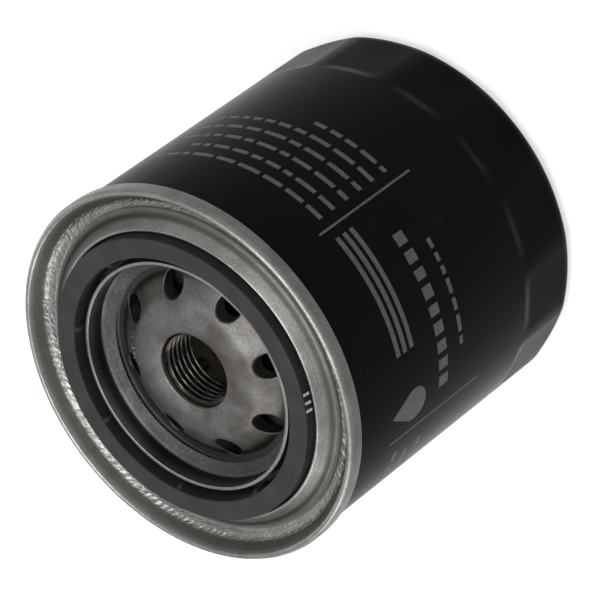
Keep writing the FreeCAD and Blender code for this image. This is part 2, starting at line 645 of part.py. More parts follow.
def make_bypass_cage():
    """Cup that holds the bypass spring, open at the sides through four windows."""
    inner = "Sizes.cage_radius - Sizes.cage_sheet"
    guide = "Sizes.stem_radius + Sizes.stem_clearance"
    cage = turned("bypass_cage", [
        (inner, CAGE_LOW),
        ("Sizes.seat_radius", CAGE_LOW),
        ("Sizes.seat_radius", f"{CAGE_LOW} + Sizes.cage_sheet"),
        ("Sizes.cage_radius", f"{CAGE_LOW} + Sizes.cage_sheet"),
        ("Sizes.cage_radius", CAGE_TOP, "1"),
        (guide, CAGE_TOP),
        (guide, f"{CAGE_TOP} - Sizes.cage_sheet"),
        (inner, f"{CAGE_TOP} - Sizes.cage_sheet", "0.4"),
    ])
    sketch = sketch_in(cage, "window_outline", "XY_Plane")
    rectangle(sketch, "Sizes.cage_radius - 3", "Sizes.cage_radius + 0.2", "Sizes.window_width / 2")
    sketch.setExpression("AttachmentOffset.Base.z", f"({CAGE_LOW} + 2.2) * 1 mm")
    window = cage.newObject("PartDesign::Pocket", "window_cut")
    window.Profile = sketch
    window.Reversed = True
    window.setExpression("Length", "(Sizes.cage_height - 4.4)")
    repeat_round(cage, window, sketch, "window", CAGE_WINDOWS)


def make_support_spring():
    """Spring under the element and the ring that it presses on."""
    under_cap = "Sizes.cap_low_level - 0.02"
    ring("spring_seat", "Sizes.seat_radius - 0.4", "Sizes.support_seat_outer",
         f"{under_cap} - Sizes.support_seat_sheet", under_cap)
    coil("element_spring", "Sizes.support_coil", "Sizes.support_wire", SUPPORT_TURNS,
         "Sizes.foot_recess + Sizes.sheet_steel + 0.03",
         f"{under_cap} - Sizes.support_seat_sheet - 0.02")


# ---------------------------------------------------------------- checks and files

NODES = [
    "can", "seaming_lid", "seam_sealant", "tapping_plate", "gasket",
    "drain_valve_hub", "drain_valve_lip",
    "upper_end_cap", "lower_end_cap", "upper_potting", "lower_potting",
    "filter_paper", "centre_tube", "pleat_clip",
    "bypass_seat", "bypass_seal", "bypass_disc", "bypass_stem", "bypass_cage", "bypass_spring",
    "spring_seat", "element_spring",
]


def check_document():
    """Stop if any object failed, or if a sub-part has no valid solid."""
    for thing in doc.Objects:
        if "Invalid" in thing.State or "Error" in thing.State:
            raise RuntimeError(f"{thing.Name} failed: {thing.State}")
    for node in NODES:
        shape = doc.getObjectsByLabel(node)[0].Shape
        if shape.isNull() or not shape.isValid() or len(shape.Solids) != 1:
            raise RuntimeError(f"{node} isn't one valid solid")
    plate = doc.getObject("tapping_plate")
    drilled = doc.getObject("tapping_plate_turn").Shape.Volume - plate.Shape.Volume
    least = INLETS * math.pi * number("Sizes.inlet_radius") ** 2 * number("Sizes.plate_sheet")
    if drilled < least:
        raise RuntimeError("the inlet holes aren't cut through")


def write_steps():
    """Write each sub-part to a file of its own."""
    os.makedirs(OUT, exist_ok=True)
    for node in NODES:
        shape = doc.getObjectsByLabel(node)[0].Shape
        shape.exportStep(os.path.join(OUT, f"{node}.step"))
        box = shape.optimalBoundingBox(False)
        print(f"{node:18s} {shape.Volume:10.1f} mm3  r {box.XMax:6.2f}  Z {box.ZMin:6.2f} to {box.ZMax:6.2f}")


fill_sheet()
make_can()
make_seaming_lid()
make_seam_sealant()
make_gasket()
make_tapping_plate()
make_drain_valve()
make_end_caps()
make_filter_paper()
make_centre_tube()
make_pleat_clip()
make_bypass_valve()
make_support_spring()
doc.recompute()
check_document()
write_steps()
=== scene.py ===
"""Looks of the spin-on oil filter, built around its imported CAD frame.

The filter stands on its dome end.  +Z is its axis and points out of the open end.  Depths at the
open end are measured down from the rim level, the height at which the rolled seam is widest.
Outlines are in millimetres; meshes, lights and the camera are in metres.
"""
import logging
import math
import random
from dataclasses import dataclass
from enum import Enum
from typing import Callable, Optional, Sequence, Union

import bmesh
import bpy
import numpy as np
from mathutils import Matrix, Vector


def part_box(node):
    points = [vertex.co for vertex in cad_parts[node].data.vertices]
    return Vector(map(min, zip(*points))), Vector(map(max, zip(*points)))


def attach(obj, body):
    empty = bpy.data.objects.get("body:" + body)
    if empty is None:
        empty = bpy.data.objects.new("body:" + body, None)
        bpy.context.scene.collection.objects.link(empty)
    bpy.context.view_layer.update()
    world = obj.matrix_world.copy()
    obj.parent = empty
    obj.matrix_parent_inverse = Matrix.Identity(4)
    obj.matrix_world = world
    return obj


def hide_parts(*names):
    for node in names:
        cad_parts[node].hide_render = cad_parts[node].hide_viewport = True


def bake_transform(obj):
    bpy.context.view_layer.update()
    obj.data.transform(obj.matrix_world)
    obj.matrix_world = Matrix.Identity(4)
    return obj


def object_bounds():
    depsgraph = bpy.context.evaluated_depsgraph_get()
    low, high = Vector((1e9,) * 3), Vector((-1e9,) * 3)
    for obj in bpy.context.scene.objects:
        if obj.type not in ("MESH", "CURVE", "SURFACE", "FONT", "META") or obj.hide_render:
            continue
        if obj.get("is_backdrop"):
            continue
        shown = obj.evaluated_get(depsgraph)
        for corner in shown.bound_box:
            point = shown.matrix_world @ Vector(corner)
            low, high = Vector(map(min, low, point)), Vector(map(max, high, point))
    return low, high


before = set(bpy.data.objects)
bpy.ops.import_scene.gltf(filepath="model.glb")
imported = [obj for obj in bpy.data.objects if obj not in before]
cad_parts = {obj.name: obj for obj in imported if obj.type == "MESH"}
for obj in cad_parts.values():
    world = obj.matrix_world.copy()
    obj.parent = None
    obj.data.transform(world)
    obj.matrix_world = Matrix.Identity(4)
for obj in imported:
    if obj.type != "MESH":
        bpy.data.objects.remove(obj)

MM = 0.001
TURN = 2.0 * math.pi
ARC_STEP = math.radians(12.0)
SHARP = math.radians(38.0)
LOG = logging.getLogger("oil_filter")

Colour = tuple[float, float, float]
Reshape = Callable[[np.ndarray, np.ndarray, np.ndarray], tuple[np.ndarray, np.ndarray]]


class Body(Enum):
    """The bodies that pieces ride on."""
    SHELL = "root"
    POPPET = "bypass_poppet"
    LIP = "drain_lip"


class Slot(Enum):
    """The record's material slots."""
    CAN_PAINT = "can_paint"
    LID_STEEL = "lid_steel"
    PLATE_STEEL = "plate_steel"
    GASKET_RUBBER = "gasket_rubber"
    VALVE_RUBBER = "valve_rubber"
    SPRING_STEEL = "spring_steel"


# ---------------------------------------------------------------- shader maths

class Wire:
    """A shader socket that takes part in Python expressions."""

    def __init__(self, graph: "Graph", socket: bpy.types.NodeSocket) -> None:
        """Wrap an output socket of a node in `graph`."""
        self.graph = graph
        self.socket = socket

    def __add__(self, other: "Term") -> "Wire":
        """Sum."""
        return self.graph.maths("ADD", self, other)

    def __radd__(self, other: "Term") -> "Wire":
        """Sum, number first."""
        return self.graph.maths("ADD", other, self)

    def __sub__(self, other: "Term") -> "Wire":
        """Difference."""
        return self.graph.maths("SUBTRACT", self, other)

    def __rsub__(self, other: "Term") -> "Wire":
        """Difference, number first."""
        return self.graph.maths("SUBTRACT", other, self)

    def __mul__(self, other: "Term") -> "Wire":
        """Product."""
        return self.graph.maths("MULTIPLY", self, other)

    def __rmul__(self, other: "Term") -> "Wire":
        """Product, number first."""
        return self.graph.maths("MULTIPLY", other, self)

    def step(self, low: float, high: float) -> "Wire":
        """A smooth rise from 0 at `low` to 1 at `high`, or a fall where `low` is the larger."""
        node = self.graph.add("ShaderNodeMapRange", {"interpolation_type": "SMOOTHSTEP"},
                              {"Value": self, "From Min": low, "From Max": high})
        return Wire(self.graph, node.outputs["Result"])

    def band(self, low: float, high: float, soft: float) -> "Wire":
        """1 between `low` and `high`, falling to 0 within `soft` outside them."""
        return self.step(low - soft, low) * self.step(high + soft, high)


Term = Union[Wire, float]


class Graph:
    """The node tree of one material or of the world."""

    def __init__(self, owner: Union[bpy.types.Material, bpy.types.World]) -> None:
        """Take over the node tree of `owner`."""
        owner.use_nodes = True
        self.owner = owner
        self.tree = owner.node_tree

    def add(self, kind: str, settings: dict, inputs: dict) -> bpy.types.Node:
        """Add one node.

        Args:
            kind: the node's type.
            settings: attributes, set before the sockets.
            inputs: values or wires by the socket's name or index.

        Returns:
            The new node.
        """
        node = self.tree.nodes.new(kind)
        for name, value in settings.items():
            setattr(node, name, value)
        for name, value in inputs.items():
            self.feed(node.inputs[name], value)
        return node

    def feed(self, socket: bpy.types.NodeSocket, value: object) -> None:
        """Link a wire to a socket, or set the socket's own value."""
        if isinstance(value, Wire):
            self.tree.links.new(value.socket, socket)
        elif socket.type == "RGBA" and len(value) == 3:
            socket.default_value = (*value, 1.0)
        else:
            socket.default_value = value

    def maths(self, operation: str, first: Term, second: Term = 0.0) -> Wire:
        """A Math node on one or two values."""
        return Wire(self, self.add("ShaderNodeMath", {"operation": operation},
                                   {0: first, 1: second}).outputs[0])

    def place(self) -> Wire:
        """The point's place in the object's own frame, in metres."""
        return Wire(self, self.add("ShaderNodeTexCoord", {}, {}).outputs["Object"])

    def polar(self) -> tuple[Wire, Wire, Wire]:
        """Radius and height in millimetres with the turn about the axis between them, in turns."""
        node = self.add("ShaderNodeSeparateXYZ", {}, {"Vector": self.place()})
        x, y, z = (Wire(self, node.outputs[i]) for i in range(3))
        radius = self.maths("SQRT", x * x + y * y)
        return radius * (1 / MM), self.maths("ARCTAN2", y, x) * (1 / TURN), z * (1 / MM)

    def vector(self, x: Term, y: Term, z: Term) -> Wire:
        """A vector of three values."""
        return Wire(self, self.add("ShaderNodeCombineXYZ", {}, {0: x, 1: y, 2: z}).outputs[0])

    def noise(self, scale: float, detail: float, vector: Optional[Wire] = None) -> Wire:
        """Noise from 0 to 1 with `scale` cells per unit of the vector, metres by default."""
        return Wire(self, self.add("ShaderNodeTexNoise", {}, {
            "Vector": vector or self.place(), "Scale": scale, "Detail": detail}).outputs["Fac"])

    def mix(self, factor: Term, first: Union[Wire, Colour], second: Union[Wire, Colour]) -> Wire:
        """A colour between two colours."""
        node = self.add("ShaderNodeMix", {"data_type": "RGBA"}, {0: factor, 6: first, 7: second})
        return Wire(self, node.outputs[2])

    def bump(self, height: Term, depth: float, under: Optional[Wire] = None) -> Wire:
        """A normal bent by a height from 0 to 1 that stands for `depth` millimetres."""
        inputs = {"Height": height, "Distance": depth * MM, "Strength": 1.0}
        if under is not None:
            inputs["Normal"] = under
        return Wire(self, self.add("ShaderNodeBump", {}, inputs).outputs["Normal"])


class Surface(Graph):
    """A material's node tree around its Principled shader."""

    def __init__(self, name: str) -> None:
        """Start a material called `name`."""
        super().__init__(bpy.data.materials.new(name))
        self.shader = self.tree.nodes["Principled BSDF"]

    def dress(self, **sockets: object) -> bpy.types.Material:
        """Set the shader's sockets, written with underscores for spaces.

        Returns:
            The finished material.
        """
        for name, value in sockets.items():
            self.feed(self.shader.inputs[name.replace("_", " ")], value)
        return self.owner


# ---------------------------------------------------------------- finishes

@dataclass(frozen=True)
class CanPaint:
    """Satin black stoving paint over drawn steel."""
    name: str = "black_can_paint"
    colour: Colour = (0.0016, 0.0016, 0.0017)
    scuff: Colour = (0.005, 0.005, 0.005)

    def material(self) -> bpy.types.Material:
        """Make the material: even black, faint draw marks and orange peel."""
        s = Surface(self.name)
        radius, turn, height = s.polar()
        draw = s.noise(1.0, 4.0, s.vector(turn * 260.0, radius * 0.2, height * 0.02))
        peel = s.noise(1100.0, 2.0)
        wear = s.noise(90.0, 5.0).step(0.62, 0.8)
        return s.dress(
            Base_Color=s.mix(wear * 0.5, self.colour, self.scuff),
            Roughness=0.24 + 0.05 * draw + 0.05 * wear, IOR=1.095,
            Normal=s.bump(peel * 0.5 + draw * 0.5, 0.004))


@dataclass(frozen=True)
class FlatFinish:
    """An even matt finish, such as ink, with a slight mottle."""
    name: str
    colour: Colour
    dark: Colour
    roughness: float = 0.5

    def material(self) -> bpy.types.Material:
        """Make the material."""
        s = Surface(self.name)
        return s.dress(Base_Color=s.mix(s.noise(1500.0, 4.0).step(0.3, 0.7), self.dark, self.colour),
                       Roughness=self.roughness, IOR=1.2)


@dataclass(frozen=True)
class Rubber:
    """Moulded black rubber with fine grain and a trace of bloom."""
    name: str
    colour: Colour = (0.011, 0.011, 0.0112)
    bloom: Colour = (0.018, 0.018, 0.018)
    roughness: float = 0.6

    def material(self) -> bpy.types.Material:
        """Make the material."""
        s = Surface(self.name)
        cloud = s.noise(160.0, 5.0).step(0.35, 0.75)
        grain = s.noise(4200.0, 2.0)
        return s.dress(Base_Color=s.mix(cloud, self.colour, self.bloom),
                       Roughness=self.roughness + 0.12 * grain, IOR=1.4,
                       Normal=s.bump(grain, 0.02))


@dataclass(frozen=True)
class Metal:
    """Bare or plated metal with a mottle and a fine grain."""
    name: str
    colour: Colour
    stain: Colour
    roughness: float
    stain_scale: float = 140.0
    grain: float = 0.006

    def material(self) -> bpy.types.Material:
        """Make the material."""
        s = Surface(self.name)
        cloud = s.noise(self.stain_scale, 5.0).step(0.35, 0.72)
        fine = s.noise(2600.0, 3.0)
        return s.dress(Base_Color=s.mix(cloud, self.colour, self.stain), Metallic=1.0,
                       Roughness=self.roughness + 0.12 * cloud + 0.06 * fine,
                       Normal=s.bump(fine, self.grain))


SPRING_WIRE = ((0.34, 0.34, 0.35), (0.22, 0.2, 0.18), 0.3)


@dataclass(frozen=True)
class LidSteel:
    """Zinc-plated lid steel: bright on its seam, with painted shade along its crease lines, over its
    valley, in its gasket groove and on its seam's outer wall, and grimy below the flange.

    Radii are in millimetres from the axis, heights in millimetres from the rim level.
    """
    rim: float
    name: str = "lid_zinc_steel"
    bright: Colour = (0.34, 0.34, 0.316)
    grey: Colour = (0.15, 0.151, 0.14)
    # Painted shade for the crease lines and the valley floor.
    dark: Colour = (0.07, 0.07, 0.065)
    # Painted shade for the gasket groove and the seam's outer wall, and the grime below the flange.
    shade_and_grime_tone: Colour = (0.03, 0.03, 0.029)

    def material(self) -> bpy.types.Material:
        """Make the material with zones by radius."""
        s = Surface(self.name)
        radius, turn, height = s.polar()
        # Valley floor: darkened with painted shade, and a little rougher.
        valley = radius.band(39.4, 42.9, 0.8) * height.step(self.rim + 0.6, self.rim - 1.4)
        puckers = radius.band(41.5, 43.5, 0.6) * height.step(self.rim - 0.8, self.rim - 1.8)
        # Painted shade along the valley's bottom and down the seam's inner wall.
        crease_shade = s.maths("MAXIMUM", radius.band(39.3, 40.1, 0.8), radius.band(44.0, 44.9, 0.7))
        # Painted shade in the gasket groove and the gap beside the gasket.
        groove = radius.step(37.0, 36.4) * height.step(self.rim + 0.3, self.rim - 2.5)
        # Painted shade on the seam's outer wall below the crest.
        skirt_shade = radius.step(46.6, 47.1) * height.step(self.rim + 1.2, self.rim)
        # Below the inner flange: grime, darker and rougher.
        margin = radius.step(28.2, 27.4)

        cloud = s.noise(170.0, 5.0).step(0.3, 0.75)
        grime = s.noise(1900.0, 4.0)
        fine = s.noise(3000.0, 3.0)
        rings = s.noise(1.0, 3.0, s.vector(radius * 9.0, turn * 14.0, height * 9.0))
        chatter = s.noise(1.0, 2.0, s.vector(turn * 330.0, radius * 0.5, height * 0.3))
        folds = s.noise(1.0, 3.0, s.vector(turn * 210.0 + radius * 2.1, radius * 0.9, height * 0.3))

        wear = 0.45 * cloud + 0.3 * rings.step(0.35, 0.7) + 0.28 * grime.step(0.38, 0.66)
        # Painted shade along the crease lines.
        body = s.mix(crease_shade * 0.5, s.mix(wear, self.bright, self.grey), self.dark)
        # Painted shade over the valley floor, left out of the pucker band.
        tone = s.mix(puckers, s.mix(valley * 0.6, body, self.dark), body)
        # Painted shade in the gasket groove and on the seam's outer wall; grime darkens the sheet
        # below the flange.
        shade_and_grime = s.maths("MAXIMUM", s.maths("MAXIMUM", groove * 0.8, skirt_shade * 0.75),
                        margin * (0.7 + 0.3 * grime))
        relief = s.bump(grime * margin + rings * 0.35, 0.08, s.bump(folds * puckers, 0.28))
        return s.dress(
            Base_Color=s.mix(shade_and_grime, tone, self.shade_and_grime_tone), Metallic=1.0,
            Roughness=0.33 + 0.10 * cloud + 0.06 * valley + 0.14 * margin - 0.16 * puckers,
            Normal=s.bump(chatter * 0.5 + fine * 0.7, 0.034, relief))


@dataclass(frozen=True)
class PlateSteel:
    """Pickled plate steel with brown oily patches, painted shade in its deep ring beside the lid, and
    an oily thread with worn crests and painted shade in its grooves.
    """
    rim: float
    name: str = "oiled_plate_steel"
    steel: Colour = (0.17, 0.167, 0.16)
    scale: Colour = (0.08, 0.078, 0.075)
    oil: Colour = (0.085, 0.068, 0.054)
    cut: Colour = (0.16, 0.148, 0.132)
    # Painted shade for the deep ring beside the lid and the thread's grooves.
    film: Colour = (0.024, 0.021, 0.018)

    def material(self) -> bpy.types.Material:
        """Make the material with the thread's zone, patches of oil, and painted shade in the deep
        ring and the thread's grooves.
        """
        s = Surface(self.name)
        radius, _, height = s.polar()
        thread = radius.step(10.1, 9.6) * height.step(self.rim - 2.0, self.rim - 3.0)
        # The deep ring beside the lid, darkened with painted shade.
        trough_shade = radius.band(23.2, 25.4, 1.6)
        cloud = s.noise(150.0, 5.0).step(0.25, 0.75)
        oily = s.noise(75.0, 4.0).step(0.42, 0.7)
        pits = s.noise(1700.0, 5.0)
        mottle = 0.65 * cloud + 0.4 * pits.step(0.38, 0.68)
        dry = s.mix(oily * 0.8, s.mix(mottle, self.steel, self.scale), self.oil)
        # Painted shade in the deep ring beside the lid.
        plate = s.mix(trough_shade * 0.8, dry, self.film)
        crest = radius.step(8.92, 8.72)
        return s.dress(
            # Painted shade down the thread's grooves; the crests keep the cut steel tone.
            Base_Color=s.mix(thread, plate, s.mix(crest, self.film, self.cut)),
            Metallic=0.92,
            Roughness=0.44 - 0.08 * oily + 0.10 * pits - 0.30 * thread,
            Normal=s.bump(pits, 0.035))


@dataclass(frozen=True)
class FilterPaper:
    """Resin-treated filter paper."""
    name: str = "resin_filter_paper"
    pale: Colour = (0.38, 0.29, 0.18)
    deep: Colour = (0.24, 0.17, 0.10)

    def material(self) -> bpy.types.Material:
        """Make the material: fibres and a soft mottle."""
        s = Surface(self.name)
        fibre = s.noise(2400.0, 6.0)
        return s.dress(Base_Color=s.mix(fibre.step(0.35, 0.68), self.deep, self.pale),
                       Roughness=0.9, Normal=s.bump(fibre, 0.05))


# ---------------------------------------------------------------- meshes

@dataclass(frozen=True)
class Bend:
    """One corner of an outline in millimetres, with the radius of its rounding."""
    r: float
    z: float
    round: float = 0.0


def fillet(before: Vector, corner: Vector, after: Vector, radius: float) -> list[Vector]:
    """Points of the arc that rounds `corner` between its two neighbours."""
    back, on = (before - corner).normalized(), (after - corner).normalized()
    half = back.angle(on) / 2
    centre = corner + (back + on).normalized() * (radius / math.sin(half))
    start = (corner + back * (radius / math.tan(half)) - centre).normalized()
    end = (corner + on * (radius / math.tan(half)) - centre).normalized()
    count = max(2, math.ceil(start.angle(end) / ARC_STEP))
    return [centre + start.slerp(end, k / count) * radius for k in range(count + 1)]


def trace(bends: Sequence[Bend], step: float = 100.0) -> np.ndarray:
    """Points along an open outline.

    Args:
        bends: the outline's corners in order.
        step: the longest straight stretch between two points, in millimetres.

    Returns:
        An array of (radius, height) in millimetres.
    """
    spots = [Vector((bend.r, bend.z)) for bend in bends]
    points = [spots[0]]
    for i in range(1, len(bends) - 1):
        if bends[i].round > 0:
            points += fillet(spots[i - 1], spots[i], spots[i + 1], bends[i].round)
        else:
            points.append(spots[i])
    points.append(spots[-1])
    path = [points[0]]
    for start, end in zip(points, points[1:]):
        count = max(1, math.ceil((end - start).length / step))
        path += [start.lerp(end, k / count) for k in range(1, count + 1)]
    return np.array([tuple(point) for point in path])


def sheet_section(face: np.ndarray, thickness: float) -> np.ndarray:
    """Closed section of a sheet that lies to the left of its traced face."""
    along = np.gradient(face, axis=0)
    left = np.stack([-along[:, 1], along[:, 0]], axis=1)
    left /= np.linalg.norm(left, axis=1, keepdims=True)
    return np.vstack([face, (face + left * thickness)[::-1]])


def ease(value: np.ndarray, low: float, high: float) -> np.ndarray:
    """A smooth rise from 0 at `low` to 1 at `high`, or a fall where `low` is the larger."""
    t = np.clip((value - low) / (high - low), 0.0, 1.0)
    return t * t * (3.0 - 2.0 * t)


def make_piece(name: str, points: np.ndarray, faces: list) -> bpy.types.Object:
    """Make an object from points in millimetres and put it in the scene.

    Args:
        name: the piece's name.
        points: an array of (x, y, z) in millimetres.
        faces: vertex indices of each face.

    Returns:
        The new object, with its normals outwards and its hard edges sharp.
    """
    mesh = bpy.data.meshes.new(name)
    mesh.from_pydata((points * MM).tolist(), [], faces)
    finish_mesh(mesh)
    piece = bpy.data.objects.new(name, mesh)
    bpy.context.scene.collection.objects.link(piece)
    return piece


def finish_mesh(mesh: bpy.types.Mesh) -> None:
    """Turn a closed mesh's normals outwards, shade it smooth and keep its hard edges."""
    work = bmesh.new()
    work.from_mesh(mesh)
    bmesh.ops.recalc_face_normals(work, faces=work.faces)
    work.to_mesh(mesh)
    work.free()
    mesh.shade_smooth()
    mesh.set_sharp_from_angle(angle=SHARP)
    mesh.update()


def lathe(name: str, section: np.ndarray, columns: int,
          reshape: Optional[Reshape] = None) -> bpy.types.Object:
    """Turn a section about the axis.

    Args:
        name: the piece's name.
        section: (radius, height) in millimetres; one that starts and ends on the axis makes a
            solid of revolution, any other is taken as a closed loop.
        columns: steps round the axis.
        reshape: changes the arrays of radius and height, given them and the turn in radians.

    Returns:
        The new object.
    """
    poles = section[0, 0] == 0.0 and section[-1, 0] == 0.0
    turn = np.arange(columns)[:, None] * TURN / columns
    r = np.repeat(section[None, :, 0], columns, axis=0)
    z = np.repeat(section[None, :, 1], columns, axis=0)
    if reshape:
        r, z = reshape(r, z, turn)
    points = np.stack([r * np.cos(turn), r * np.sin(turn), z], axis=-1).reshape(-1, 3)
    rows = len(section)
    index = np.arange(columns * rows).reshape(columns, rows)
    beside = np.roll(index, -1, axis=0)
    if poles:
        inner, next_inner = index[:, 1:-1], beside[:, 1:-1]
        faces = quads(inner[:, :-1], next_inner[:, :-1], next_inner[:, 1:], inner[:, 1:])
        for pole, row in ((0, 1), (rows - 1, rows - 2)):
            fan = np.stack([np.full(columns, index[0, pole]), index[:, row], beside[:, row]], -1)
            faces += fan.tolist()
        keep = np.ones(columns * rows, bool)
        keep[index[1:, 0]] = keep[index[1:, -1]] = False
        number = np.cumsum(keep) - 1
        return make_piece(name, points[keep], [[int(number[i]) for i in face] for face in faces])
    above, beside_above = np.roll(index, -1, axis=1), np.roll(beside, -1, axis=1)
    return make_piece(name, points, quads(index, beside, beside_above, above))


def quads(*corners: np.ndarray) -> list:
    """Faces from four arrays of vertex indices."""
    return np.stack(corners, axis=-1).reshape(-1, 4).tolist()


def carve(piece: bpy.types.Object, cutter: bpy.types.Object) -> None:
    """Cut `cutter` out of `piece` for good and remove it."""
    cut = piece.modifiers.new("holes", "BOOLEAN")
    cut.operation, cut.solver, cut.object = "DIFFERENCE", "MANIFOLD", cutter
    graph = bpy.context.evaluated_depsgraph_get()
    mesh = bpy.data.meshes.new_from_object(piece.evaluated_get(graph))
    piece.modifiers.clear()
    piece.data = mesh
    finish_mesh(mesh)
    bpy.data.objects.remove(cutter)


def dress(piece: bpy.types.Object, material: bpy.types.Material) -> None:
    """Give every slot of a piece one material."""
    piece.data.materials.clear()
    piece.data.materials.append(material)


def seat(piece: bpy.types.Object, material: bpy.types.Material,
         stands_for: Sequence[str] = ()) -> None:
    """Dress a finished rigid piece and nodes, and let it ride on the shell.

    Args:
        piece: the piece.
        material: what it is made of.
        stands_for: the CAD nodes that it replaces.
    """
    dress(piece, material)
    if stands_for:
        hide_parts(*stands_for)
    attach(piece, Body.SHELL.value)
    LOG.info("%s: %d faces", piece.name, len(piece.data.polygons))


def stretch(piece: bpy.types.Object, material: bpy.types.Material,
            stands_for: Sequence[str], moving: Body) -> None:
    """Dress a finished elastic piece, hide the CAD nodes that it replaces and fix it in place.

    Args:
        piece: the piece.
        material: what it is made of.
        stands_for: the CAD nodes that it replaces.
        moving: the body that the log names as its other end.
    """
    dress(piece, material)
    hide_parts(*stands_for)
    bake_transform(piece)
    LOG.info("%s: %d faces, bends from %s to %s", piece.name, len(piece.data.polygons),
             Body.SHELL.value, moving.value)


# ---------------------------------------------------------------- sub-assemblies

@dataclass(frozen=True)
class Levels:
    """Sizes that the pieces share, read from the frame, in millimetres."""
    rim: float
    foot: float
    gasket_top: float
    gasket_foot: float
    gasket_outer: float
    seam: float
    cap_top: float
    lip_top: float

    @classmethod
    def read(cls, crest: float = 1.4) -> "Levels":
        """Read the levels off the frame's boxes.

        Args:
            crest: how far the seam's crest stands above the rim level.
        """
        lid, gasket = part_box("seaming_lid"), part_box("gasket")
        return cls(rim=lid[1][2] / MM - crest, foot=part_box("can")[0][2] / MM,
                   gasket_top=gasket[1][2] / MM, gasket_foot=gasket[0][2] / MM,
                   gasket_outer=gasket[1][0] / MM, seam=lid[1][0] / MM,
                   cap_top=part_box("upper_end_cap")[1][2] / MM,
                   lip_top=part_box("drain_valve_lip")[1][2] / MM)


@dataclass
class Can:
    """The drawn can with its dished base and the wrench flats at its dome end."""
    levels: Levels
    radius: float = 46.36
    sheet: float = 0.36
    corner: float = 4.5
    recess: float = 2.5
    ring_inner: float = 34.0
    neck: float = 46.16
    flats: int = 15
    first_crease: float = 19.0
    apothem: float = 45.68
    crease_round: float = 0.10
    flat_low: float = 18.0
    flat_high: float = 21.4
    run_out: float = 0.8
    fine_row: float = 0.3
    corner_fade: tuple[float, float] = (0.6, 5.2)
    base_fade: tuple[float, float] = (40.0, 44.0)
    columns: int = 900

    def section(self) -> np.ndarray:
        """The can's outline: up its outside from the middle of the base, down its inside."""
        rim, foot = self.levels.rim, self.levels.foot

        def wall(inset: float) -> list[Bend]:
            """The corners of one face of the sheet, drawn in by `inset`."""
            return [
                Bend(0.0, foot + self.recess + inset),
                Bend(self.ring_inner - 1.0, foot + self.recess + inset, 0.8),
                Bend(self.ring_inner + 1.0 + inset / 2, foot + inset, 0.8),
                Bend(self.radius - inset, foot + inset, self.corner - inset),
                Bend(self.radius - inset, foot + self.flat_low - self.run_out),
                Bend(self.radius - inset, foot + self.flat_high + self.run_out),
                Bend(self.radius - inset, rim - 3.85),
                Bend(self.neck - inset, rim - 2.95),
                Bend(self.neck - inset, rim - 0.5)]

        outside, inside = trace(wall(0.0)), trace(wall(self.sheet))
        return np.vstack([self.divided(outside), self.divided(inside)[::-1]])

    def divided(self, path: np.ndarray) -> np.ndarray:
        """Put close rows through the height where the flats run out."""
        low = self.levels.foot + self.flat_low - self.run_out
        high = self.levels.foot + self.flat_high + self.run_out
        at = int(np.argmax(np.isclose(path[:, 1], low)))
        rows = np.arange(low + self.fine_row, high - 0.1, self.fine_row)
        ledge = np.stack([np.full(len(rows), path[at, 0]), rows], axis=1)
        return np.vstack([path[:at + 1], ledge, path[at + 1:]])

    def flatten(self, r: np.ndarray, z: np.ndarray, turn: np.ndarray) \
            -> tuple[np.ndarray, np.ndarray]:
        """Press the wrench flats into the wall's lower end."""
        pitch = TURN / self.flats
        off_middle = np.mod(turn - math.radians(self.first_crease), pitch) - pitch / 2
        flat = self.apothem / np.cos(off_middle)
        blank = self.radius + self.crease_round / 2
        mean, gap = (flat + blank) / 2, (flat - blank) / 2
        pressed = mean - np.sqrt(gap ** 2 + self.crease_round ** 2 / 4)
        up = z - self.levels.foot
        share = ease(up, self.flat_high, self.flat_low) * ease(up, *self.corner_fade)
        share = share * ease(r, *self.base_fade)
        return r + (pressed - self.radius) * share, z

    def build(self) -> None:
        """Make the can."""
        piece = lathe("can_shell", self.section(), self.columns, self.flatten)
        seat(piece, CanPaint().material(), ["can"])


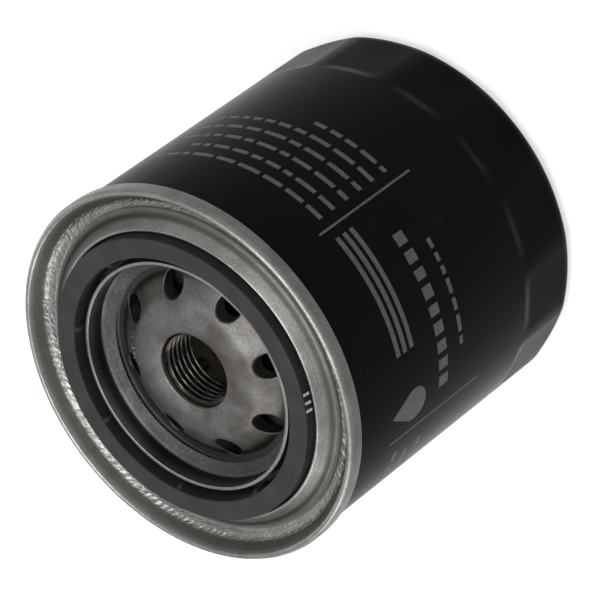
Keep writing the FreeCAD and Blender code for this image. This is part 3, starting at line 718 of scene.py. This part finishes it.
@dataclass
class PrintPanel:
    """The grey print on the can: two rules, plain bars and dashes, and a drop.

    Turns are in degrees from +X, depths in millimetres below the rim level.
    """
    levels: Levels
    radius: float = 46.36
    film: float = 0.02
    rules: tuple[tuple[float, float, float], ...] = (
        (-80.9, -80.2, 16.5), (-149.8, -149.2, 16.0))
    rule_end: float = 51.0
    notes: tuple[tuple[float, float], ...] = (
        (20.5, -16.0), (25.3, -24.0), (30.5, -13.0), (35.5, -12.0), (40.3, -20.0), (45.2, -51.0))
    side_notes: tuple[tuple[float, float], ...] = (
        (20.0, -155.0), (25.0, -158.0), (30.0, -153.5))
    note_height: float = 1.35
    stripes: tuple[float, ...] = (20.0, 22.55, 25.1)
    stripe_height: float = 1.4
    seed: int = 5

    def __post_init__(self) -> None:
        """Start an empty panel."""
        self.points: list[tuple[float, float, float]] = []
        self.faces: list[list[int]] = []

    def patch(self, lows: Sequence[float], highs: Sequence[float], turns: Sequence[float]) -> None:
        """Add a curved patch of ink.

        Args:
            lows: the depth of its lower edge at each turn, in millimetres below the rim.
            highs: the depth of its upper edge at each turn.
            turns: degrees from +X, in order.
        """
        start = len(self.points)
        for low, high, turn in zip(lows, highs, turns):
            a = math.radians(turn)
            for r in (self.radius - self.film, self.radius + self.film):
                for depth in (low, high):
                    self.points.append((r * math.cos(a), r * math.sin(a), self.levels.rim - depth))
        count = len(turns)
        for k in range(count - 1):
            a, b = start + 4 * k, start + 4 * k + 4
            for i, j in ((0, 1), (1, 3), (3, 2), (2, 0)):
                self.faces.append([a + i, a + j, b + j, b + i])
        last = start + 4 * (count - 1)
        self.faces += [[start, start + 1, start + 3, start + 2],
                       [last, last + 1, last + 3, last + 2]]

    def bar(self, turn_a: float, turn_b: float, depth_a: float, depth_b: float) -> None:
        """Add a rectangle between two turns in degrees and two depths."""
        count = max(2, math.ceil(abs(turn_b - turn_a)) + 1)
        turns = np.linspace(turn_a, turn_b, count)
        self.patch([depth_b] * count, [depth_a] * count, turns)

    def dashes(self, turn_a: float, turn_b: float, depth: float, height: float,
               words: tuple[float, float], gap: float, draw: random.Random) -> None:
        """Add a broken line of plain dashes that spell nothing.

        Args:
            turn_a: where the line starts, in degrees.
            turn_b: where it ends.
            depth: the depth of its middle.
            height: the height of a dash.
            words: the shortest and longest dash, in degrees.
            gap: the space between dashes, in degrees.
            draw: the source of chance.
        """
        at = turn_a
        while at < turn_b - words[0]:
            end = min(turn_b, at + draw.uniform(*words))
            self.bar(at, end, depth - height / 2, depth + height / 2)
            at = end + gap

    def drop(self, turn: float, depth: float, size: float) -> None:
        """Add a plain oil drop, a disc with straight sides up to its point."""
        spread = np.cos(np.linspace(math.pi, 0.0, 41))
        belly = np.sqrt(1.0 - spread ** 2)
        reach = math.degrees(size / self.radius)
        side = math.sqrt(3.0)
        point = np.where(np.abs(spread) < side / 2, 2.0 - side * np.abs(spread), belly)
        self.patch(depth + 0.3 * size + belly * size + 0.02, depth + 0.3 * size - point * size,
                   turn + spread * reach)

    def build(self) -> None:
        """Make the whole print."""
        draw = random.Random(self.seed)
        for turn_a, turn_b, depth in self.rules:
            self.bar(turn_a, turn_b, depth, self.rule_end)
        for depth, end in self.notes:
            self.dashes(-77.0, end, depth, self.note_height, (2.2, 7.5), 1.5, draw)
        for depth in self.stripes:
            self.bar(-122.5, -84.0, depth - self.stripe_height / 2, depth + self.stripe_height / 2)
        self.dashes(-141.5, -88.0, 35.5, 3.4, (3.2, 3.9), 2.1, draw)
        self.dashes(-132.5, -97.0, 42.8, 1.3, (2.5, 6.0), 1.5, draw)
        self.drop(-140.5, 23.0, 4.3)
        for depth, end in self.side_notes:
            self.dashes(-172.0, end, depth, self.note_height, (2.2, 6.5), 1.5, draw)
        piece = make_piece("can_print", np.array(self.points), self.faces)
        ink = FlatFinish("grey_print_ink", (0.066, 0.066, 0.066), (0.044, 0.044, 0.044))
        seat(piece, ink.material())


@dataclass
class SeamingLid:
    """The thin lid: rolled seam, puckered valley, gasket groove and folded flange."""
    levels: Levels
    sheet: float = 0.36
    puckers: int = 168
    pucker_circle: float = 42.4
    pucker_height: float = 0.34
    pucker_slant: float = 0.021
    cross_slant: float = -0.0294
    cross_share: float = 0.25
    inner_fade: tuple[float, float] = (40.9, 42.1)
    outer_fade: tuple[float, float] = (44.6, 43.3)
    crest_fade: tuple[float, float] = (0.2, 1.6)
    seed: int = 11
    columns: int = 840

    def section(self) -> np.ndarray:
        """The sheet's closed section."""
        rim, seam = self.levels.rim, self.levels.seam
        return sheet_section(trace([
            Bend(seam - 1.16, rim - 0.9),
            Bend(seam - 1.16, rim - 2.65),
            Bend(seam, rim - 2.65, 0.4),
            Bend(seam, rim + 0.6, 1.0),
            Bend(46.2, rim + 1.78, 0.75),
            Bend(43.3, rim - 3.1, 1.8),
            Bend(40.0, rim - 3.1, 1.5),
            Bend(37.0, rim + 0.3, 0.5),
            Bend(36.3, rim + 0.3, 0.42),
            Bend(36.3, rim - 3.9, 0.3),
            Bend(29.25, rim - 3.9, 0.3),
            Bend(29.25, rim + 0.82, 0.24),
            Bend(28.35, rim + 0.82, 0.24),
            Bend(28.35, rim - 3.9, 0.8),
            Bend(25.3, rim - 5.5)], step=0.7), self.sheet)

    def ruffle(self) -> tuple[np.ndarray, np.ndarray]:
        """The puckers' height round the lid, from turns in radians to 0 to 1."""
        draw = random.Random(self.seed)
        turns = np.linspace(0.0, TURN, 8 * self.columns, endpoint=False)
        height = np.zeros_like(turns)
        for k in range(self.puckers):
            middle = (k + draw.uniform(-0.28, 0.28)) * TURN / self.puckers
            width = draw.uniform(0.17, 0.30) * TURN / self.puckers
            off = np.mod(turns - middle + math.pi, TURN) - math.pi
            height += draw.uniform(0.35, 1.0) * np.exp(-(off / width) ** 2)
        return turns, height

    def pucker(self, r: np.ndarray, z: np.ndarray, turn: np.ndarray) \
            -> tuple[np.ndarray, np.ndarray]:
        """Raise the puckers at the seam's inner foot, some of them crossed by others."""
        turns, height = self.ruffle()
        rise = np.zeros_like(r)
        for slant, share in ((self.pucker_slant, 1.0 - self.cross_share),
                             (self.cross_slant, self.cross_share)):
            spot = turn + slant * (r - self.pucker_circle)
            rise += share * np.interp(spot, turns, height, period=TURN)
        share = ease(r, *self.inner_fade) * ease(r, *self.outer_fade)
        share = share * ease(self.levels.rim - z, *self.crest_fade)
        return r, z + self.pucker_height * rise * share

    def build(self) -> None:
        """Make the lid."""
        piece = lathe("lid_sheet", self.section(), self.columns, self.pucker)
        seat(piece, LidSteel(self.levels.rim).material(), ["seaming_lid"])


@dataclass
class Gasket:
    """The square-section sealing ring with its inner nibs and three paint ticks."""
    levels: Levels
    inner: float = 31.0
    edge: float = 0.35
    nibs: int = 8
    first_nib: float = -5.5
    nib_reach: float = 0.9
    nib_width: float = 1.0
    ticks: tuple[float, ...] = (-122.0, -125.4, -128.6)
    paint: float = 0.03
    columns: int = 1080

    def section(self) -> np.ndarray:
        """The ring's closed section, from the middle of its face."""
        low, high, outer = self.levels.gasket_foot, self.levels.gasket_top, self.levels.gasket_outer
        middle = (self.inner + outer) / 2
        path = trace([
            Bend(middle, high), Bend(outer, high, self.edge), Bend(outer, low, self.edge),
            Bend(self.inner, low, self.edge), Bend(self.inner, high, self.edge),
            Bend(middle, high)], step=0.6)
        return path[:-1]

    def push_nibs(self, r: np.ndarray, z: np.ndarray, turn: np.ndarray) \
            -> tuple[np.ndarray, np.ndarray]:
        """Push the nibs out of the ring's inner wall."""
        pitch = TURN / self.nibs
        off = np.abs(np.mod(turn - math.radians(self.first_nib) + pitch / 2, pitch) - pitch / 2)
        share = ease(off * self.inner, self.nib_width * 0.8, self.nib_width * 0.3)
        share = share * ease(r, self.inner + 0.25, self.inner + 0.05)
        top, foot = self.levels.gasket_top, self.levels.gasket_foot
        share = share * ease(z, top - 0.5, top - 1.2) * ease(z, foot + 0.6, foot + 1.2)
        return r - self.nib_reach * share, z

    def tick_marks(self) -> bpy.types.Object:
        """Three short slanted dabs of pale paint on the ring's outer wall."""
        rim, outer = self.levels.rim, self.levels.gasket_outer
        points, faces = [], []
        for tick in self.ticks:
            start = len(points)
            for r in (outer - self.paint, outer + self.paint):
                for turn, z in ((0.0, 0.3), (1.1, 0.3), (1.5, 2.35), (0.4, 2.35)):
                    a = math.radians(tick - 0.75 + turn)
                    points.append((r * math.cos(a), r * math.sin(a), rim + z))
            faces += [[start + i for i in face] for face in (
                (0, 1, 2, 3), (4, 5, 6, 7), (0, 1, 5, 4), (1, 2, 6, 5), (2, 3, 7, 6), (3, 0, 4, 7))]
        return make_piece("gasket_ticks", np.array(points), faces)

    def build(self) -> None:
        """Make the gasket and its ticks."""
        ring = lathe("sealing_gasket", self.section(), self.columns, self.push_nibs)
        seat(ring, Rubber("gasket_rubber_grain").material(), ["gasket"])
        dabs = FlatFinish("pale_tick_paint", (0.62, 0.62, 0.60), (0.45, 0.45, 0.44))
        seat(self.tick_marks(), dabs.material())


@dataclass
class TappingPlate:
    """The thick domed plate with its threaded neck and circle of oil inlets."""
    levels: Levels
    sheet: float = 2.8
    radius: float = 38.5
    minor: float = 8.75
    thread_depth: float = 0.775
    pitch: float = 1.5875
    inlets: int = 8
    first_inlet: float = 18.8
    inlet_circle: float = 20.85
    inlet: float = 3.0
    inlet_round: float = 0.4
    mouth: float = 9.45
    flank: tuple[float, float] = (0.12, 0.82)
    droplets: int = 26
    droplet: tuple[float, float] = (0.09, 0.25)
    spatter_ring: tuple[float, float] = (15.2, 19.4)
    spatter_turn: float = 44.0
    spatter_spread: float = 7.0
    seed: int = 3
    columns: int = 540

    def face(self) -> list[Bend]:
        """The outer face from the neck's mouth to the plate's edge."""
        rim = self.levels.rim
        return [
            Bend(9.5, rim - 2.3, 0.8), Bend(12.0, rim - 1.75, 4.0), Bend(17.35, rim - 2.6, 6.0),
            Bend(23.8, rim - 6.9, 1.0), Bend(25.2, rim - 6.8, 0.8), Bend(28.95, rim - 4.46, 2.0),
            Bend(self.radius, rim - 4.4)]

    def section(self) -> np.ndarray:
        """The plate's closed section, with close rows down the threaded bore."""
        rim, under = self.levels.rim, self.levels.rim - self.sheet
        bore = trace([Bend(self.minor, rim - 12.6), Bend(self.minor, rim - 3.6),
                      Bend(self.mouth, rim - 2.45)], step=0.1)
        back = trace([
            Bend(self.radius, rim - 4.4), Bend(self.radius, under - 4.4),
            Bend(30.75, under - 4.4, 3.0), Bend(25.0, under - 6.9, 2.0),
            Bend(23.0, under - 6.9, 2.0), Bend(16.35, under - 2.6, 4.0),
            Bend(11.2, under - 2.15, 1.5), Bend(11.2, rim - 13.2), Bend(self.minor + 0.6, rim - 13.2),
            Bend(self.minor, rim - 12.6)], step=1.5)
        face = trace([Bend(self.mouth, rim - 2.45)] + self.face(), step=0.8)
        return np.vstack([bore[:-1], face[:-1], back[:-1]])

    def cut_thread(self, r: np.ndarray, z: np.ndarray, turn: np.ndarray) \
            -> tuple[np.ndarray, np.ndarray]:
        """Cut the helical thread into the bore's wall."""
        phase = np.mod((z - self.levels.rim) / self.pitch - turn / TURN, 1.0)
        groove = ease(1.0 - 2.0 * np.abs(phase - 0.5), *self.flank)
        inside = (r < self.minor + self.thread_depth) & (z < self.levels.rim - 2.2)
        cut = np.maximum(r, self.minor + self.thread_depth * groove)
        return np.where(inside & (r < self.mouth - 0.01), cut, r), z

    def cutter(self) -> bpy.types.Object:
        """Eight punches that flare where they leave the face, so the holes get rounded edges."""
        face = trace(self.face(), step=0.3)
        shape = [(0.0, -9.0), (0.0, -1.0)]
        shape += [(self.inlet_round * (1 - math.cos(a)), self.inlet_round * (math.sin(a) - 1))
                  for a in np.linspace(0.0, math.pi / 2, 6)]
        shape += [(self.inlet_round + 0.5, 0.35), (self.inlet_round + 0.5, 3.0)]
        steps, points, faces = 64, [], []
        for k in range(self.inlets):
            turn = math.radians(self.first_inlet) + k * TURN / self.inlets
            start, rows = len(points), len(shape)
            middle = self.inlet_circle * np.array((math.cos(turn), math.sin(turn)))
            for grow, rise in shape:
                for a in np.arange(steps) * TURN / steps:
                    spot = middle + (self.inlet + grow) * np.array((math.cos(a), math.sin(a)))
                    level = np.interp(np.linalg.norm(spot), face[:, 0], face[:, 1])
                    points.append((spot[0], spot[1], level + rise))
            for row in range(rows - 1):
                for i in range(steps):
                    j, low, high = (i + 1) % steps, start + row * steps, start + (row + 1) * steps
                    faces.append([low + i, low + j, high + j, high + i])
            faces.append([start + i for i in range(steps)])
            faces.append([start + (rows - 1) * steps + i for i in range(steps)])
        return make_piece("inlet_punches", np.array(points), faces)

    def spatter(self) -> bpy.types.Object:
        """A few small droplets of weld spatter on the dome."""
        draw = random.Random(self.seed)
        face = trace(self.face(), step=0.3)
        work = bmesh.new()
        for _ in range(self.droplets):
            r = draw.uniform(*self.spatter_ring)
            turn = math.radians(draw.gauss(self.spatter_turn, self.spatter_spread))
            size = draw.uniform(*self.droplet)
            level = np.interp(r, face[:, 0], face[:, 1])
            spot = Vector((r * math.cos(turn), r * math.sin(turn), level + size * 0.1)) * MM
            bmesh.ops.create_icosphere(work, subdivisions=2, radius=size * MM,
                                       matrix=Matrix.Translation(spot))
        mesh = bpy.data.meshes.new("weld_spatter")
        work.to_mesh(mesh)
        work.free()
        mesh.shade_smooth()
        piece = bpy.data.objects.new("weld_spatter", mesh)
        bpy.context.scene.collection.objects.link(piece)
        return piece

    def build(self) -> None:
        """Make the plate and its spatter."""
        steel = PlateSteel(self.levels.rim).material()
        plate = lathe("threaded_plate", self.section(), self.columns, self.cut_thread)
        carve(plate, self.cutter())
        seat(plate, steel, ["tapping_plate"])
        bright = Metal("spatter_steel", (0.34, 0.33, 0.31), (0.05, 0.05, 0.05), 0.25)
        seat(self.spatter(), bright.material())


@dataclass
class DrainValve:
    """The rubber anti-drain valve: a hub that grips the neck and a lip that bends."""
    levels: Levels
    columns: int = 360

    def build(self) -> None:
        """Make the valve as one piece in place of the hub and the lip."""
        foot, top = self.levels.cap_top + 0.05, self.levels.lip_top
        section = trace([
            Bend(12.9, foot), Bend(14.6, foot, 0.3), Bend(14.9, foot + 1.3, 0.5),
            Bend(25.6, top - 1.0, 0.5), Bend(26.2, top - 0.5, 0.2), Bend(26.2, top, 0.2),
            Bend(24.4, top, 1.0), Bend(15.0, top - 0.5, 1.2), Bend(13.6, foot + 1.55, 0.6),
            Bend(11.3, foot + 1.55, 0.3), Bend(11.3, foot, 0.3), Bend(12.9, foot)], step=0.6)
        piece = lathe("drain_valve", section[:-1], self.columns)
        skin = Rubber("valve_rubber_skin", (0.012, 0.012, 0.012), (0.024, 0.024, 0.023), 0.42)
        stretch(piece, skin.material(),
                ["drain_valve_hub", "drain_valve_lip"], Body.LIP)


@dataclass
class BypassSpring:
    """The bypass valve's coil spring, which shortens as the disc lifts."""
    mean: float = 6.0
    wire: float = 0.8
    turns: int = 5
    steps: int = 360
    sides: int = 16

    def build(self) -> None:
        """Wind the wire between the disc and the cage."""
        low, high = (corner.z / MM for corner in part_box("bypass_spring"))
        along = np.linspace(0.0, 1.0, self.steps + 1)[:, None]
        around = np.arange(self.sides)[None, :] * TURN / self.sides
        half = self.wire / 2
        r = self.mean + half * np.cos(around)
        z = low + half + (high - low - self.wire) * along + half * np.sin(around)
        turn = along * self.turns * TURN
        points = np.stack([r * np.cos(turn), r * np.sin(turn), z], axis=-1).reshape(-1, 3)
        index = np.arange(z.size).reshape(z.shape)
        beside = np.roll(index, -1, axis=1)
        faces = quads(index[:-1], index[1:], beside[1:], beside[:-1])
        piece = make_piece("valve_spring", points,
                           faces + [index[0].tolist(), index[-1].tolist()[::-1]])
        finish = Metal("valve_spring_wire", *SPRING_WIRE)
        stretch(piece, finish.material(), ["bypass_spring"], Body.POPPET)


class InnerParts:
    """The filter element, its support and the bypass valve, whose CAD shapes are kept."""

    def build(self) -> None:
        """Give each inner node its finish."""
        tin = Metal("cap_tinplate", (0.62, 0.61, 0.58), (0.48, 0.47, 0.44), 0.28).material()
        spring = Metal("spring_steel_wire", *SPRING_WIRE).material()
        zinc = Metal("valve_zinc_steel", (0.55, 0.54, 0.48), (0.42, 0.4, 0.33), 0.35).material()
        glue = FlatFinish("potting_adhesive", (0.10, 0.045, 0.02), (0.05, 0.02, 0.01),
                          0.4).material()
        compound = FlatFinish("seam_compound", (0.34, 0.33, 0.30), (0.25, 0.24, 0.22), 0.6)
        finishes = {
            "upper_end_cap": tin, "lower_end_cap": tin, "centre_tube": tin, "pleat_clip": tin,
            "upper_potting": glue, "lower_potting": glue, "seam_sealant": compound.material(),
            "filter_paper": FilterPaper().material(),
            "bypass_seat": zinc, "bypass_disc": zinc, "bypass_stem": zinc, "bypass_cage": zinc,
            "bypass_seal": Rubber("washer_rubber").material(),
            "element_spring": spring, "spring_seat": zinc}
        for name, material in finishes.items():
            dress(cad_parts[name], material)
            LOG.info("%s: keeps its CAD shape, finish %s", name, material.name)


# ---------------------------------------------------------------- studio

@dataclass(frozen=True)
class SoftLight:
    """A rectangular soft light that faces the filter.

    Args:
        name: the light's name.
        azimuth: degrees from +X round to +Y.
        elevation: degrees above the horizon.
        away: distance in metres.
        size: width and height in metres.
        power: watts.
    """
    name: str
    azimuth: float
    elevation: float
    away: float
    size: tuple[float, float]
    power: float

    def hang(self, target: Vector) -> None:
        """Put the light in the scene, turned towards a point in metres."""
        a, e = math.radians(self.azimuth), math.radians(self.elevation)
        out = Vector((math.cos(a) * math.cos(e), math.sin(a) * math.cos(e), math.sin(e)))
        lamp = bpy.data.lights.new(self.name, "AREA")
        lamp.shape, lamp.energy = "RECTANGLE", self.power
        lamp.size, lamp.size_y = self.size
        holder = bpy.data.objects.new(self.name, lamp)
        holder.location = out * self.away + target
        holder.rotation_mode = "QUATERNION"
        holder.rotation_quaternion = out.to_track_quat("Z", "Y")
        bpy.context.scene.collection.objects.link(holder)


@dataclass
class Studio:
    """The floor, the soft lights and the camera, with angles in degrees and places in metres."""
    elevation: float = 42.1
    roll: float = -126.5
    distance: float = 1.04
    aim: tuple[float, float, float] = (-0.0014, -0.0050, 0.0526)
    lens: float = 268.3
    floor_reach: float = 3.0
    floor_gap: float = 0.1 * MM
    floor_tone: float = 0.5
    floor_glow: float = 0.6
    horizon: Colour = (0.42, 0.42, 0.43)
    zenith: Colour = (0.8, 0.8, 0.81)
    lights: tuple[SoftLight, ...] = (
        SoftLight("key", -100.0, 78.0, 1.3, (0.95, 0.95), 12.0),
        SoftLight("left", 152.0, 33.0, 1.2, (0.6, 0.7), 5.0),
        SoftLight("low", 62.0, 12.0, 1.1, (0.7, 0.3), 1.5))

    def floor(self) -> None:
        """A wide pale floor under the foot, lit softly from below."""
        level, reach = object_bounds()[0][2] - self.floor_gap, self.floor_reach
        mesh = bpy.data.meshes.new("floor")
        mesh.from_pydata([(-reach, -reach, level), (reach, -reach, level),
                          (reach, reach, level), (-reach, reach, level)], [], [(0, 1, 2, 3)])
        plane = bpy.data.objects.new("floor", mesh)
        bpy.context.scene.collection.objects.link(plane)
        s = Surface("pale_floor")
        tone = (self.floor_tone,) * 3
        dress(plane, s.dress(Base_Color=tone, Roughness=0.9, Specular_IOR_Level=0.1,
                             Emission_Color=(1.0, 1.0, 1.0), Emission_Strength=self.floor_glow))
        plane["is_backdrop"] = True

    def world(self) -> None:
        """Even soft light from all round, a little darker near the horizon."""
        world = bpy.data.worlds.new("studio")
        bpy.context.scene.world = world
        g = Graph(world)
        g.tree.nodes["Background"].inputs["Strength"].default_value = 1.0
        spot = Wire(g, g.add("ShaderNodeTexCoord", {}, {}).outputs["Generated"])
        up = Wire(g, g.add("ShaderNodeSeparateXYZ", {}, {"Vector": spot}).outputs["Z"])
        g.feed(g.tree.nodes["Background"].inputs["Color"],
               g.mix(up.step(-0.1, 0.7), self.horizon, self.zenith))

    def plain_tones(self) -> None:
        """Show tones as they are, with no film curve."""
        bpy.context.scene.view_settings.view_transform = "Standard"

    def camera(self) -> None:
        """The camera, looking down at the open end and rolled."""
        e, roll = math.radians(self.elevation), math.radians(self.roll)
        back = Vector((0.0, -math.cos(e), math.sin(e)))
        rise = Vector((0.0, math.sin(e), math.cos(e)))
        right = Vector((math.cos(roll), 0.0, 0.0)) + rise * math.sin(roll)
        up = back.cross(right)
        data = bpy.data.cameras.new("view")
        data.lens, data.sensor_width = self.lens, 36.0
        holder = bpy.data.objects.new("view", data)
        turned = Matrix((right, up, back)).transposed()
        holder.matrix_world = Matrix.Translation(Vector(self.aim) + back * self.distance) \
            @ turned.to_4x4()
        bpy.context.scene.collection.objects.link(holder)
        bpy.context.scene.camera = holder

    def build(self) -> None:
        """Set up the studio."""
        self.plain_tones()
        self.camera()
        self.floor()
        self.world()
        for light in self.lights:
            light.hang(Vector(self.aim))
        LOG.info("studio: camera at %.1f degrees", self.elevation)


def corners() -> list[list[float]]:
    """The shown object's lowest and highest corner as plain lists."""
    return [list(corner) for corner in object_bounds()]


def main() -> None:
    """Build every sub-assembly in order."""
    logging.basicConfig(level=logging.INFO, format="%(name)s %(message)s")
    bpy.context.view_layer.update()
    levels = Levels.read()
    Can(levels).build()
    PrintPanel(levels).build()
    SeamingLid(levels).build()
    Gasket(levels).build()
    TappingPlate(levels).build()
    DrainValve(levels).build()
    BypassSpring().build()
    InnerParts().build()
    Studio().build()


if __name__ == "__main__":
    main()
